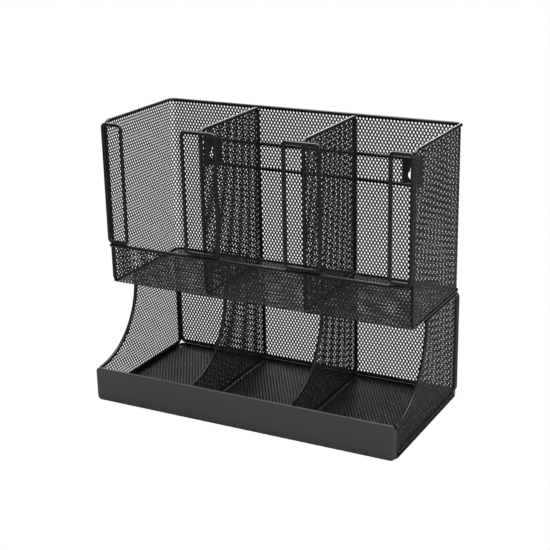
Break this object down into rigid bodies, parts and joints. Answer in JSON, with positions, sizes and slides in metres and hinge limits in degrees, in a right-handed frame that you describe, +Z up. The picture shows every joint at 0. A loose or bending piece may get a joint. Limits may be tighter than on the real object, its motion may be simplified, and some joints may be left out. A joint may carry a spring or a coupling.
{
  "type": "two-tier countertop organizer",
  "caption": "Free-standing two-tier holder of bent wire and expanded metal panels, open upper and lower bays split by dividers, smooth front band, keyhole plates at the back.",
  "frame": {"origin": "bottom centre of the bounding box, on the surface the object stands on", "axes": "+X to the right along the front, +Y to the back, +Z up"},
  "size_m": [0.4, 0.2, 0.3433],
  "materials": {
    "wire_coat": "semi-gloss black powder coat on steel wire",
    "mesh_coat": "semi-gloss black powder coat on expanded steel",
    "band_coat": "satin charcoal powder coat on smooth sheet steel",
    "plate_coat": "satin black powder coat on sheet steel"
  },
  "bodies": {
    "root": {"upper_frame_wire": "wire_coat", "upper_wrap_mesh": "mesh_coat", "upper_tray_mesh": "mesh_coat", "upper_front_rail": "wire_coat", "upper_divider_frame_left": "wire_coat", "upper_divider_mesh_left": "mesh_coat", "lower_divider_frame_left": "wire_coat", "lower_divider_mesh_left": "mesh_coat", "lower_side_frame_left": "wire_coat", "lower_side_mesh_left": "mesh_coat", "upper_divider_frame_right": "wire_coat", "upper_divider_mesh_right": "mesh_coat", "lower_divider_frame_right": "wire_coat", "lower_divider_mesh_right": "mesh_coat", "lower_side_frame_right": "wire_coat", "lower_side_mesh_right": "mesh_coat", "guard_loop_end_left": "wire_coat", "guard_loop_mid_left": "wire_coat", "guard_loop_mid_right": "wire_coat", "guard_loop_end_right": "wire_coat", "hanger_wire_top": "wire_coat", "hanger_wire_bottom": "wire_coat", "keyhole_plate_left": "plate_coat", "keyhole_plate_right": "plate_coat", "lower_back_frame": "wire_coat", "lower_back_mesh": "mesh_coat", "base_frame_wire": "wire_coat", "base_floor_mesh": "mesh_coat", "front_band": "band_coat"}
  },
  "joints": []
}
